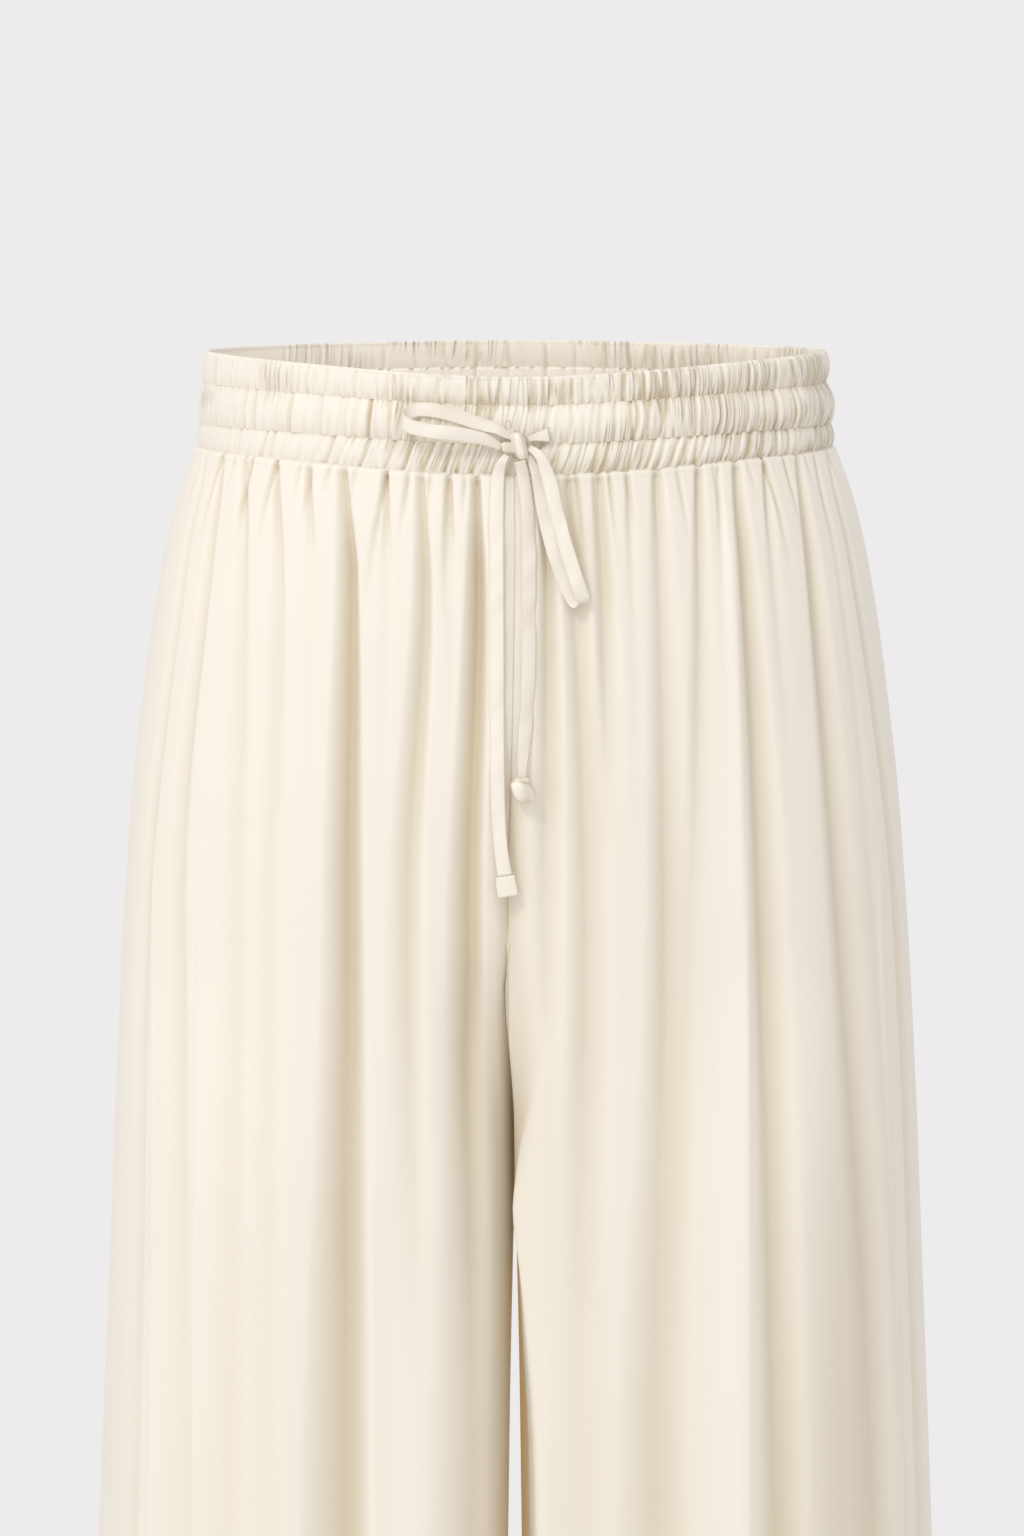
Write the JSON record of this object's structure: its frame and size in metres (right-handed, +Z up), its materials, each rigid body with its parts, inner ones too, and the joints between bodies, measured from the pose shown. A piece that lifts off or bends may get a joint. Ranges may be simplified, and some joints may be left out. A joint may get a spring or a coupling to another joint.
{
  "type": "wide-leg satin trousers",
  "caption": "High-waisted wide-leg satin trousers with a gathered elastic waistband and a tied drawstring, hollow as when worn.",
  "frame": {"origin": "Centre of the waist opening, half way up the waistband at the side seams.", "axes": "+Z up, the front faces -Y, and the wearer's left is at +X."},
  "size_m": [0.425, 0.2689, 1.0465],
  "materials": {
    "satin_cloth": "cream satin with a soft sheen",
    "satin_waistband": "cream satin, gathered on elastic",
    "satin_tape": "cream satin tape, flat and narrow"
  },
  "bodies": {
    "root": {"waistband": "satin_waistband", "front_left_leg": "satin_cloth", "front_right_leg": "satin_cloth", "back_left_leg": "satin_cloth", "back_right_leg": "satin_cloth", "drawstring_knot": "satin_tape", "drawstring_run_left": "satin_tape", "drawstring_run_right": "satin_tape", "drawstring_loop_left": "satin_tape", "drawstring_loop_right": "satin_tape", "drawstring_end_left": "satin_tape", "drawstring_end_middle": "satin_tape", "drawstring_end_tab": "satin_tape", "drawstring_end_knot": "satin_tape"}
  },
  "joints": []
}
